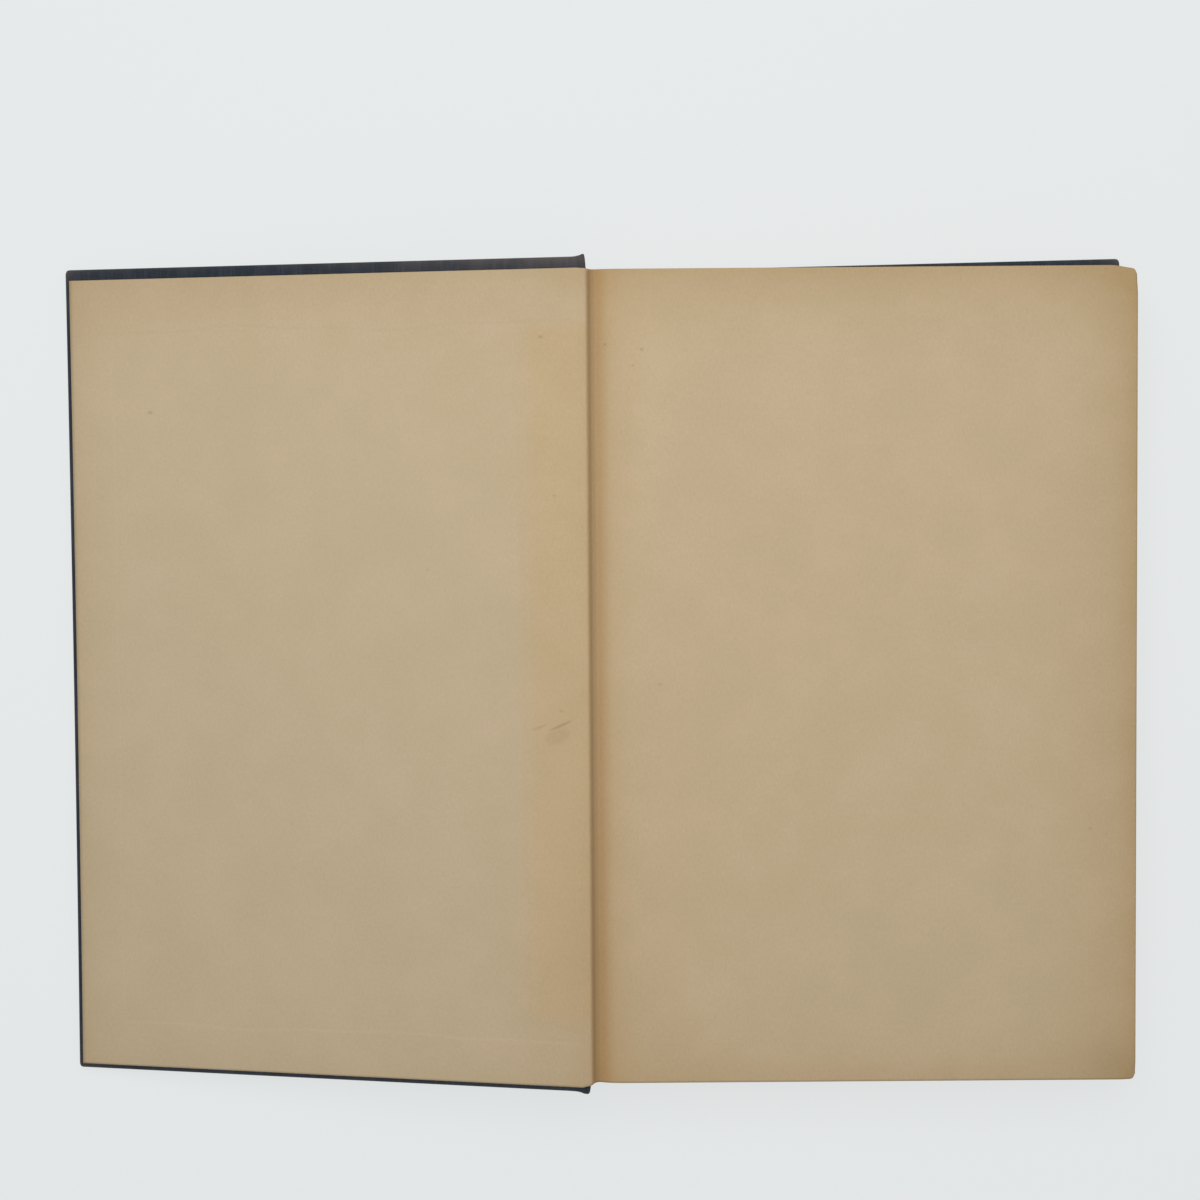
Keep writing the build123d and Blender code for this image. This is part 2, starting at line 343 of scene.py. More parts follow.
def paper_material():
    """Uncoated endpaper, toned at its edges and where glue has browned it by the gutter, and
    with painted shade and painted warm bounce light in the gutter.

    The attribute sheet is the place on the flat sheet from the fold, in metres; tone is how
    far age has darkened the paper, stain the glue's browning together with painted
    shade in the gutter, mark a thumbed soiling together with painted shade on the
    fold, and warm how much the gauze and its glue warm the colour, with the
    leaf's own warm tint and painted warm bounce light on the leaf by the gutter.
    """
    paint = Paint("endpaper")
    sheet = paint.attribute("sheet", "Vector")
    clouds = paint.noise(sheet, 42, 4, 0.65)
    blotches = paint.noise(sheet, 110, 3, 0.6)
    tooth = paint.noise(sheet, 1300, 4, 0.7)
    fibres = paint.noise(paint.scaled(sheet, (1.0, 0.22, 1.0)), 2600, 2, 0.5)

    def spot(across, along, wide, tall, turn, low, high):
        """1 inside a ragged oval on the sheet, 0 outside it; sizes in mm and turn in degrees."""
        moved = paint.node("ShaderNodeMapping", {"Vector": sheet}, vector_type="TEXTURE")
        moved.inputs["Location"].default_value = (across * MM, along * MM, 0)
        moved.inputs["Rotation"].default_value = (0, 0, math.radians(turn))
        moved.inputs["Scale"].default_value = (wide * MM, tall * MM, 1)
        length = paint.node("ShaderNodeVectorMath", {0: moved.outputs[0]}, operation="LENGTH")
        ragged = paint.add(length.outputs["Value"], paint.times(paint.add(blotches, -0.5), 1.2))
        return paint.step(ragged, low, high, 1.0, 0.0)

    colour = paint.mix(paint.step(clouds, 0.35, 0.65), PAPER_PALE, PAPER_DULL)
    colour = paint.mix(paint.times(paint.step(blotches, 0.4, 0.7), 0.4), colour, PAPER_DULL)
    toned = paint.times(paint.attribute("tone"), paint.add(paint.times(clouds, 0.5), 0.75))
    toned = paint.math("MINIMUM", toned, 0.75)
    colour = paint.mix(toned, colour, PAPER_AGED)
    # Warmth of the gauze beneath and of the leaf, with painted warm bounce light on the leaf by the
    # gutter.
    warmer = paint.mix(1.0, colour, GAUZE_AND_BOUNCE_TINT, "MULTIPLY")
    colour = paint.mix(paint.attribute("warm"), colour, warmer)
    # Glue's browning, and painted shade in the gutter.
    colour = paint.mix(paint.attribute("stain"), colour, GLUE_STAIN_AND_SHADE)
    # Thumbed soiling, and painted shade on the fold.
    colour = paint.mix(paint.attribute("mark"), colour, GRIME_AND_SHADE)
    for across, along, size, depth in SPECKS:
        speck = spot(across, along, size, size * 0.7, 0, 0.4, 1.3)
        colour = paint.mix(paint.times(speck, depth), colour, FOXING)
    for across, along, wide, tall, turn, depth in SCUFFS:
        scuff = spot(across, along, wide, tall, turn, 0.6, 1.2)
        colour = paint.mix(paint.times(scuff, depth), colour, SCUFFED)
    grain = paint.times(paint.add(tooth, -0.5), 0.2)
    shade = paint.add(paint.add(grain, paint.times(paint.add(fibres, -0.5), 0.12)), 1.0)
    colour = paint.node("ShaderNodeVectorMath", {0: colour, 1: shade}, operation="MULTIPLY").outputs[0]
    relief = paint.add(paint.times(tooth, 0.6), paint.times(fibres, 0.4))
    normal = paint.bump(relief, 0.5, 0.0001)
    return paint.finish(colour, 0.88, normal, 0.25)


THREAD_PITCH = 0.42 * MM
# Painted shade for the weave's hollows.
CLOTH_SHADED_HOLLOW = rgb(14, 23, 32)
CLOTH_THREAD = rgb(31, 43, 55)
CLOTH_SLUB = rgb(56, 64, 78)
CLOTH_DUST = rgb(66, 66, 70)
CLOTH_RUBBED = rgb(104, 94, 88)


def cloth_material():
    """Dark navy book cloth: a plain weave with painted shade in its hollows, paler and browner
    where it is rubbed.

    The attribute weave is the place on the cloth in metres, and rub how worn it is.
    """
    paint = Paint("book_cloth")
    weave = paint.attribute("weave", "Vector")
    rub = paint.attribute("rub")
    waver = paint.noise(weave, 160, 2, 0.5)

    def threads(axis):
        parts = paint.node("ShaderNodeSeparateXYZ", {0: weave})
        run = paint.add(parts.outputs[axis], paint.times(waver, 0.0004))
        turn = paint.times(run, 2 * math.pi / THREAD_PITCH)
        return paint.add(paint.times(paint.math("SINE", turn), 0.5), 0.5)

    warp, weft = threads(0), threads(1)
    raised = paint.math("MAXIMUM", paint.times(warp, 0.9), weft)
    hollow = paint.math("MINIMUM", warp, weft)
    height = paint.add(paint.times(raised, 0.7), paint.times(hollow, 0.5))
    slubs = paint.noise(paint.scaled(weave, (1.0, 0.12, 1.0)), 900, 2, 0.6)
    dust = paint.noise(weave, 70, 4, 0.65)
    # The weave's hollows are painted darker than its raised threads: painted shade.
    colour = paint.mix(paint.step(height, 0.2, 1.2), CLOTH_SHADED_HOLLOW, CLOTH_THREAD)
    colour = paint.mix(paint.times(paint.step(slubs, 0.45, 0.75), 0.35), colour, CLOTH_SLUB)
    colour = paint.mix(paint.times(paint.step(dust, 0.45, 0.75), 0.25), colour, CLOTH_DUST)
    ragged = paint.math("MULTIPLY", rub, paint.step(dust, 0.25, 0.6, 0.35, 1.0), True)
    colour = paint.mix(ragged, colour, CLOTH_RUBBED)
    normal = paint.bump(height, 0.5, 0.00012)
    rough = paint.step(height, 0.2, 1.1, 0.86, 0.7)
    material = paint.finish(colour, rough, normal, 0.3)
    paint.shader.inputs["Sheen Weight"].default_value = 0.12
    paint.shader.inputs["Sheen Roughness"].default_value = 0.5
    return material


EDGE_CREAM = rgb(190, 170, 132)
EDGE_PALE = rgb(214, 198, 164)
# Painted shade of the gaps between the leaves.
EDGE_GAP_SHADE = rgb(150, 126, 88)
EDGE_AGED = rgb(168, 142, 100)


def leaf_edge_material():
    """The cut edges of the leaves: cream, browned by age, with a line for every leaf and painted shade
    in the gaps between them.
    """
    paint = Paint("leaf_edges")
    place = paint.node("ShaderNodeTexCoord").outputs["Object"]
    leaf = paint.attribute("leaf")
    lines = paint.noise(paint.scaled(place, (0.04, 0.04, 1.0)), 9000, 2, 0.6)
    age = paint.noise(place, 60, 3, 0.6)
    colour = paint.mix(leaf, EDGE_CREAM, EDGE_PALE)
    # Darker streaks along the edges: painted shade in the gaps between the leaves.
    colour = paint.mix(paint.times(paint.step(lines, 0.35, 0.7), 0.55), colour, EDGE_GAP_SHADE)
    colour = paint.mix(paint.times(paint.step(age, 0.4, 0.75), 0.4), colour, EDGE_AGED)
    normal = paint.bump(lines, 0.5, 0.00008)
    return paint.finish(colour, 0.9, normal, 0.2)


def speckled_material(name, dark, light, scale, roughness):
    """A plain matt stuff with flecks, for what lies inside the case."""
    paint = Paint(name)
    place = paint.node("ShaderNodeTexCoord").outputs["Object"]
    flecks = paint.noise(place, scale, 4, 0.7)
    colour = paint.mix(paint.step(flecks, 0.35, 0.65), dark, light)
    return paint.finish(colour, roughness, paint.bump(flecks, 0.4, 0.0001), 0.2)


PAPER = paper_material()
BOOK_CLOTH = cloth_material()
LEAF_EDGES = leaf_edge_material()
BOARD = speckled_material("binders_board", rgb(96, 88, 76), rgb(136, 126, 108), 1400, 0.9)
GAUZE = speckled_material("gauze", rgb(168, 158, 134), rgb(204, 196, 174), 2600, 0.85)


def wear(piece, material):
    """Gives a piece its material."""
    piece.data.materials.clear()
    piece.data.materials.append(material)
    return piece


def through(controls, step):
    """Places along a smooth curve through a few control points, about a step apart."""
    controls = np.asarray(controls, float)
    before = 2 * controls[:1] - controls[1:2]
    beyond = 2 * controls[-1:] - controls[-2:-1]
    padded = np.concatenate((before, controls, beyond))
    places = []
    for a, b, c, d in zip(padded, padded[1:], padded[2:], padded[3:]):
        count = max(1, int(round(np.linalg.norm(c - b) / step)))
        t = np.linspace(0, 1, count, endpoint=False)[:, None]
        squared = (2 * a - 5 * b + 4 * c - d) * t**2
        cubed = (3 * b - a - 3 * c + d) * t**3
        places.append(0.5 * (2 * b + (c - a) * t + squared + cubed))
    return np.concatenate(places + [controls[-1:]])


# ------------------------------------------------------------------------------ endpapers

SHEET = 0.12 * MM
TURN_IN = 14.0 * MM
HEAD_TURN_IN = 17.0 * MM
GAUZE_EDGE = 20.3 * MM
GAUZE_HALF = 97.5 * MM
GAUZE_SHIFT = 1.5 * MM
FOLD_START = 1.3 * MM
BACK_FOLD_START = 0.55 * MM
LEAF_START = 1.2 * MM
# The folds in section, across and up from their hinge lines
FRONT_FOLD = MM * np.array((
    (-0.85, -0.75), (-0.62, -1.2), (-0.3, -1.7), (0.1, -2.05), (0.6, -2.25), (1.2, -2.28),
))
BACK_FOLD = MM * np.array(((-0.15, 1.26), (-0.12, 1.6), (0.2, 2.05), (0.7, 2.26), (1.2, 2.28)))
LEAF_DROP = 0.08 * MM
LEAF_REACH = FORE_EDGE - FRONT_HINGE[0]
LEAF_CORNER = 1.6 * MM
CORNER_DROP = 0.9 * MM
HEAD_WEAR = 0.8 * MM
FORE_EDGE_BOW = 0.3 * MM


def gutter_dip(x):
    """How far the outer leaves dip where they run to their fold, by distance from the hinge."""
    places = np.array((1.2, 1.6, 2.5, 4.0, 5.6, 7.0, 8.5)) * MM
    depths = np.array((1.0, 0.84, 0.58, 0.30, 0.12, 0.03, 0.0)) * MM
    return np.interp(x, places, depths)


def corner_drop(x, y):
    """How far the thumbed fore-edge corners of the leaves are bent down, more at the head."""
    out = LEAF_REACH - x
    head = smooth(8.5 * MM, 0.5 * MM, out + 1.2 * (PAGE_HALF - y))
    tail = smooth(5.0 * MM, 0.0, out + (PAGE_HALF + y))
    return CORNER_DROP * (head + 0.45 * tail)


def worn_end(x, y, reach, share=1.0):
    """Places along the leaves with rounded fore-edge corners, the head's rubbed back further."""
    near = np.clip(LEAF_CORNER - (reach - x), 0, LEAF_CORNER)
    inset = LEAF_CORNER - np.sqrt(LEAF_CORNER**2 - near**2)
    inset = inset + HEAD_WEAR * share * smooth(7.5 * MM, 0, reach - x) * (y > 0)
    return y - np.sign(y) * inset * (np.abs(y) / PAGE_HALF) ** 8


def endpaper_attributes(across, along, on_board):
    """Toning, glue stain, soiling and warmth of the endpaper, with painted shade and painted warm
    bounce light in the gutter, by places on the flat sheet.
    """
    x, y = np.meshgrid(across, along, indexing="ij")
    leaf = ~on_board[:, None]
    to_fore_edge = np.where(leaf, across.max() - x, x - across.min())
    fore_tone = np.where(
        leaf, 0.60 * np.exp(-to_fore_edge / (9.4 * MM)), 0.26 * np.exp(-to_fore_edge / (5.2 * MM))
    )
    head_tone = np.where(leaf, 0.49, 0.35) * np.exp(-(PAGE_HALF - y) / (10.5 * MM))
    tail_tone = np.where(leaf, 0.36, 0.14) * np.exp(-(PAGE_HALF + y) / (8 * MM))
    # On the fold and the leaf by the gutter, darker and browner: glue's browning, and painted shade
    # where the valley lies in shadow.
    valley = 0.44 * bump_at(np.maximum(x, 0.9 * MM), 1.6 * MM, 2.6 * MM)
    valley = valley + 0.1 * bump_at(x, 6 * MM, 5 * MM)
    # On the board side, darker down the wall into the fold (painted shade), with a broad glue browning
    # towards the joint.
    crest = 0.08 * np.exp((x + FOLD_START) / (0.8 * MM)) + 0.1 * np.exp(x / (15 * MM))
    tail_glue = 0.15 * smooth(20 * MM, -PAGE_HALF, y) * np.exp(-np.abs(x) / (16 * MM))
    stain = np.where(leaf, valley, np.minimum(crest, 0.4)) + tail_glue
    gauze = 0.95 * smooth(GAUZE_EDGE + 3 * MM, GAUZE_EDGE - 6 * MM, -x)
    gauze = gauze * smooth(GAUZE_HALF + 4 * MM, GAUZE_HALF - 4 * MM, np.abs(y - GAUZE_SHIFT))
    thumbed = bump_at(x, LEAF_REACH - 7 * MM, 10 * MM) * bump_at(y, -PAGE_HALF + 5 * MM, 6 * MM)
    smudge = bump_at(x, 106 * MM, 5 * MM) * bump_at(y, 11 * MM, 3 * MM)
    # A darker band on the fold at the gutter's floor: painted shade, with some dirt.
    fold_grime_and_shade = 0.26 * smooth(1.3 * MM, 0.8 * MM, x) * smooth(-0.8 * MM, -0.1 * MM, x)
    return {
        "sheet": np.stack((x, y, np.zeros_like(x)), axis=-1),
        "tone": fore_tone + head_tone + tail_tone,
        "stain": stain,
        "mark": np.where(leaf, 0.15 * thumbed + 0.06 * smudge + fold_grime_and_shade, 0.0),
        # On the leaf, its own warm tint, stronger by the gutter where it paints warm light bounced
        # between the sheets; on the board, the gauze beneath.
        "warm": np.where(leaf, 0.3 + 0.55 * np.exp(-np.maximum(x, 0) / (14 * MM)), gauze),
    }


def pastedown_lift(u, y):
    """How far the turned-in cloth and the gauze beneath it raise the pastedown."""
    waver = 1.0 * MM * np.sin(y / (11 * MM)) + 0.6 * MM * np.sin(y / (4.3 * MM) + 1.0)
    end_waver = 1.5 * MM * np.sin(u / (13 * MM)) + 0.8 * MM * np.sin(u / (5.1 * MM))
    from_fore_edge = PASTE_HIGH[0] - u + 0.25 * waver
    from_head = PAGE_HALF - y + 0.5 * end_waver
    from_tail = PAGE_HALF + y + 0.3 * end_waver
    inside = np.minimum(
        smooth(TURN_IN - 1.4 * MM, TURN_IN - 0.7 * MM, from_fore_edge),
        smooth(HEAD_TURN_IN - 2.4 * MM, HEAD_TURN_IN - 1.6 * MM, from_head),
    )
    inside = np.minimum(inside, smooth(TURN_IN - 1.6 * MM, TURN_IN - 0.9 * MM, from_tail))
    gauze = smooth(GAUZE_EDGE + 1.2 * MM, GAUZE_EDGE - 1.2 * MM, u + 0.2 * waver)
    gauze = gauze * smooth(GAUZE_HALF, GAUZE_HALF - 1 * MM, np.abs(y - GAUZE_SHIFT))
    cockle = np.sin(u / (9 * MM) + y / (17 * MM)) + np.sin(y / (12 * MM) - u / (21 * MM))
    return 0.09 * MM * (1 - inside) + 0.05 * MM * gauze * inside + 0.012 * MM * cockle


def joint_paper(u):
    """How high the pastedown lies over the joint, from the fold up onto the board's edge."""
    places = np.array((1.3, 1.5, 1.75, 2.0, 2.4, 2.8, 3.2, 3.5, 3.8, 4.2, 5.0)) * MM
    heights = np.array((0.34, 0.50, 0.62, 0.68, 0.71, 0.76, 0.86, 0.96, 1.04, 1.05, 1.02)) * MM
    return np.interp(u, places, heights)


def build_front_endpaper():
    """One folded sheet: pasted to the front board, over the joint, and free on the pages."""
    turn_in_place = PASTE_HIGH[0] - TURN_IN
    board_side = spread(
        (FOLD_START, 6 * MM, 0.2 * MM),
        (6 * MM, GAUZE_EDGE - 1.5 * MM, 1.6 * MM),
        (GAUZE_EDGE - 1.5 * MM, GAUZE_EDGE + 1.5 * MM, 0.25 * MM),
        (GAUZE_EDGE + 1.5 * MM, turn_in_place - 1.5 * MM, 2.4 * MM),
        (turn_in_place - 1.5 * MM, turn_in_place + 3 * MM, 0.3 * MM),
        (turn_in_place + 3 * MM, PASTE_HIGH[0], 1.2 * MM),
    )[::-1]
    fold = through(FRONT_FOLD, 0.14 * MM)[:-1]
    # The fold's places on the flat sheet are drawn in to end just short of the leaf's first one
    fold_run = np.concatenate(([0.6 * MM], np.linalg.norm(np.diff(fold, axis=0), axis=1)))
    fold_place = np.cumsum(fold_run) / fold_run.sum() * (LEAF_START + FOLD_START) * 0.95 - FOLD_START
    leaf_side = spread(
        (LEAF_START, 8.5 * MM, 0.35 * MM),
        (8.5 * MM, LEAF_REACH - 8 * MM, 2.4 * MM),
        (LEAF_REACH - 8 * MM, LEAF_REACH, 0.5 * MM),
    )
    along = spread(
        (-PAGE_HALF, -PAGE_HALF + 8 * MM, 0.6 * MM),
        (-PAGE_HALF + 8 * MM, -PAGE_HALF + TURN_IN - 3 * MM, 1.5 * MM),
        (-PAGE_HALF + TURN_IN - 3 * MM, -PAGE_HALF + TURN_IN + 1 * MM, 0.3 * MM),
        (-PAGE_HALF + TURN_IN + 1 * MM, PAGE_HALF - HEAD_TURN_IN - 1 * MM, 2.4 * MM),
        (PAGE_HALF - HEAD_TURN_IN - 1 * MM, PAGE_HALF - HEAD_TURN_IN + 4 * MM, 0.3 * MM),
        (PAGE_HALF - HEAD_TURN_IN + 4 * MM, PAGE_HALF - 8 * MM, 1.5 * MM),
        (PAGE_HALF - 8 * MM, PAGE_HALF, 0.6 * MM),
    )
    u, y = np.meshgrid(board_side, along, indexing="ij")
    pasted_y = np.interp(y, (-PAGE_HALF, PAGE_HALF), (PASTE_LOW[1], PASTE_HIGH[1]))
    board_y = y + smooth(0.3 * MM, 4 * MM, u) * (pasted_y - y)
    board_w = joint_paper(u) + pastedown_lift(u, y) * smooth(2 * MM, 6 * MM, u)
    bow = FORE_EDGE_BOW * (1 - (y / PAGE_HALF) ** 2) * (u / PASTE_HIGH[0]) ** 2
    pasted = (
        FRONT_HINGE
        + (u - bow)[..., None] * FRONT_OUT
        + board_y[..., None] * HEADWARD
        + board_w[..., None] * FRONT_UP
    )
    fold_x, fold_y = np.meshgrid(fold[:, 0], along, indexing="ij")
    folded = FRONT_HINGE + np.stack((fold_x, fold_y, fold[:, 1][:, None] + 0 * fold_y), axis=-1)
    x, y = np.meshgrid(leaf_side, along, indexing="ij")
    wave = 0.03 * MM * np.sin(x / (24 * MM) + 0.7) * np.sin(y / (33 * MM))
    wave = wave + 0.015 * MM * np.sin(y / (13 * MM) + x / (31 * MM))
    depth = LEAF_DROP + gutter_dip(x) + corner_drop(x, y) - wave * smooth(6 * MM, 20 * MM, x)
    free = np.stack(
        (FRONT_HINGE[0] + x, FRONT_HINGE[1] + worn_end(x, y, LEAF_REACH), BLOCK_TOP - depth), axis=-1
    )
    across = np.concatenate((-board_side, fold_place, leaf_side))
    on_board = np.arange(len(across)) < len(board_side)
    attributes = endpaper_attributes(across, along, on_board)
    sheet = leaf_solid("front_endpaper", np.concatenate((pasted, folded, free)), SHEET, attributes)
    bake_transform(sheet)
    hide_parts("front_flyleaf", "front_pastedown")
    return wear(sheet, PAPER)


def build_back_endpaper():
    """The back sheet: pasted to the back board, folded at the back joint, under the pages."""
    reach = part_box("back_pastedown")[1][0] - BACK_HINGE[0]
    board_side = spread((BACK_FOLD_START, 6 * MM, 0.3 * MM), (6 * MM, reach, 4 * MM))[::-1]
    places = np.array((0.55, 1.0, 2.2, 3.0, 5.0)) * MM
    heights = np.array((0.40, 0.46, 1.05, 1.04, 1.02)) * MM
    board_up = np.interp(board_side, places, heights)
    fold = through(BACK_FOLD, 0.2 * MM)[:-1]
    leaf_side = spread((LEAF_START, 8.5 * MM, 0.6 * MM), (8.5 * MM, LEAF_REACH, 4 * MM))
    leaf_up = BLOCK_BOTTOM - BACK_HINGE[2] + LEAF_DROP + gutter_dip(leaf_side)
    section_across = np.concatenate((board_side, fold[:, 0], leaf_side))
    across, along = np.meshgrid(section_across, spread((-PAGE_HALF, PAGE_HALF, 5 * MM)), indexing="ij")
    up = np.concatenate((board_up, fold[:, 1], leaf_up))[:, None] + 0 * along
    facing = BACK_HINGE + np.stack((across, along, up), axis=-1)
    on_board = np.arange(len(across)) < len(board_side)
    flat_place = np.where(on_board, -across[:, 0], across[:, 0])
    attributes = endpaper_attributes(flat_place, along[0], on_board)
    sheet = leaf_solid("back_endpaper", facing, SHEET, attributes)
    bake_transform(sheet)
    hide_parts("back_flyleaf", "back_pastedown")
    return wear(sheet, PAPER)


def build_front_gauze():
    """The gauze's flap under the front endpaper, followed down into the joint."""
    low, high = front_box("front_lining_flange")
    places = spread((1.45 * MM, 5 * MM, 0.3 * MM), (5 * MM, high[0], 4 * MM))
    top = np.minimum(joint_paper(places) - SHEET - 0.03 * MM, high[2])
    bottom = top - 0.26 * MM
    loops = np.stack((
        np.stack([front_place(u, low[1], b) for u, b in zip(places, bottom)]),
        np.stack([front_place(u, high[1], b) for u, b in zip(places, bottom)]),
        np.stack([front_place(u, high[1], t) for u, t in zip(places, top)]),
        np.stack([front_place(u, low[1], t) for u, t in zip(places, top)]),
    ), axis=1)
    flap = loft("front_gauze", loops)
    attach(flap, "front_cover")
    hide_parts("front_lining_flange")
    return wear(flap, GAUZE)


# ---------------------------------------------------------------------------------- leaves

LEAVES = 144
SPINE_DEPTH = SHOULDER - PAGES_LOW[0]
SECTION = 8
HOLLOW = 2.4 * MM
EDGE_INSET = 0.05 * MM
SECTION_SHIFT = 0.12 * MM
FORE_SHIFT = 0.10 * MM
END_SHIFT = 0.14 * MM


def build_leaves():
    """The stack of leaves: one ridge for every leaf, dipping at the shoulders to their folds."""
    half = STACK / 2
    spine_radius = (half**2 + SPINE_DEPTH**2) / (2 * SPINE_DEPTH)
    hollow_radius = (half**2 + HOLLOW**2) / (2 * HOLLOW)
    gap = SHEET + LEAF_DROP + 0.03 * MM
    share_spans = ((0, 0.06, 12), (0.1, 0.9, 12), (0.93, 1, 14))
    shares = np.concatenate([np.linspace(*span) for span in share_spans])
    ends = np.linspace(-1, 1, 28)[1:-1]
    section_shift = np.abs(random.normal(0, SECTION_SHIFT, LEAVES // SECTION + 1))
    rings = []
    tones = []
    for leaf in range(LEAVES):
        tone = random.uniform(0, 1)
        fore_shift = abs(random.normal(0, FORE_SHIFT)) + section_shift[leaf // SECTION]
        end_shift = random.uniform(0, END_SHIFT)
        for edge, inset in ((0.08, EDGE_INSET), (0.5, 0.0), (0.92, EDGE_INSET)):
            level = (leaf + edge) / LEAVES * 2 - 1
            spine_x = PAGES_LOW[0] + spine_radius - math.sqrt(spine_radius**2 - (level * half) ** 2)
            bow = hollow_radius - math.sqrt(hollow_radius**2 - (level * half) ** 2)
            fore_x = FORE_EDGE - HOLLOW + bow - fore_shift - inset
            reach = PAGE_HALF - end_shift - inset
            x_run = spine_x + shares * (fore_x - spine_x)
            from_hinge = x_run - FRONT_HINGE[0]
            upper = max(level, 0) ** 8
            y_head = worn_end(x_run, np.full(len(x_run), reach), fore_x, max(level, 0.2))
            y_tail = worn_end(x_run, np.full(len(x_run), -reach), fore_x)
            dips = gutter_dip(np.maximum(from_hinge, LEAF_START))
            dips = (dips + 0.12 * MM * smooth(4 * MM, 1 * MM, from_hinge)) * level**3
            z_run = BLOCK_MIDDLE + level * (STACK / 2 + 0.2 * MM - gap) - dips
            head_z = z_run - upper * corner_drop(from_hinge, PAGE_HALF)
            tail_z = z_run - upper * corner_drop(from_hinge, -PAGE_HALF)
            edge_y = y_tail[-1] + (ends + 1) / 2 * (y_head[-1] - y_tail[-1])
            edge_z = z_run[-1] - upper * corner_drop(from_hinge[-1], edge_y)
            ring = np.concatenate((
                np.stack((x_run, y_tail, tail_z), axis=1),
                np.stack((fore_x + 0 * edge_y, edge_y, edge_z), axis=1),
                np.stack((x_run, y_head, head_z), axis=1)[::-1],
                np.stack((spine_x + 0 * ends, -ends * reach, z_run[0] + 0 * ends), axis=1),
            ))
            ring[:, 1] += PAGE_MIDDLE_Y
            rings.append(ring)
            tones.append(np.full(len(ring), tone))
    # Each end of the stack is closed by strips from tail to head, which follow the dip
    run_count = len(shares)
    head_start = 2 * run_count + len(ends) - 1
    cap = [(0, 1, *range(head_start - 1, len(ring)))]
    cap += [(i, i + 1, head_start - i - 1, head_start - i) for i in range(1, run_count - 2)]
    cap.append(tuple(range(run_count - 2, run_count + len(ends) + 2)))
    block = loft("leaves", np.stack(rings), {"leaf": np.concatenate(tones)}, cap)
    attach(block, "text_block")
    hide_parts("pages")
    return wear(block, LEAF_EDGES)


# -------------------------------------------------------------------------------- the case

EDGE_ROUND = 0.75 * MM
CASE_CORNER = 1.2 * MM
HINGE_ROUND = 0.12 * MM
WALL = BOARD_LOW[0] - CLOTH
END_MARGIN = 14 * MM
CLOTH_SINK = 0.4 * MM
STRIP_ROUND = 0.96
EDGE_STATIONS = MM * np.array((0.0, 0.05, 0.16, 0.32, 0.52, 0.75, 1.2, 1.8))
JOINT_STATIONS = MM * np.array((5.2, 4.6, 4.2, 3.9, 3.7, 3.55, 3.45, 3.38, 3.33))


def rounded(distance, radius):
    """How far a rounded edge stands back, this far from the edge's furthest point."""
    near = np.clip(radius - np.asarray(distance, float), 0, radius)
    return radius - np.sqrt(radius**2 - near**2)


def section_loop(low_y, high_y, low_w, high_w, radius, sink):
    """A rounded oblong in the plane of along and up; sink lowers the middle of its top."""
    turn = np.linspace(0, math.pi / 2, 5)
    ends = spread((0, 3 * MM, 1.0 * MM), (3 * MM, END_MARGIN, 1.8 * MM)) / END_MARGIN
    reach = (high_y - low_y) / 2 - radius
    rest = np.linspace(0, 1, 22)[1:-1]
    inner = min(END_MARGIN, reach * 0.8)
    offsets = np.concatenate((
        -reach + ends * inner,
        (-reach + inner) + rest * 2 * (reach - inner),
        (reach - ends * inner)[::-1],
    ))[1:-1]
    middle = (low_y + high_y) / 2
    lowered = sink * smooth(8.5 * MM, 11.5 * MM, reach - np.abs(offsets))
    bottom = np.stack((middle + offsets, low_w + 0 * offsets), axis=1)
    top = np.stack((middle + offsets, high_w - lowered), axis=1)[::-1]
    corners = []
    for side_y, side_w, start in (
        (high_y - radius, low_w + radius, -math.pi / 2),
        (high_y - radius, high_w - radius, 0.0),
        (low_y + radius, high_w - radius, math.pi / 2),
        (low_y + radius, low_w + radius, math.pi),
    ):
        corner_y = side_y + radius * np.cos(start + turn)
        corner_w = side_w + radius * np.sin(start + turn)
        corners.append(np.stack((corner_y, corner_w), axis=1))
    return np.concatenate((bottom, corners[0], corners[1], top, corners[2], corners[3]))


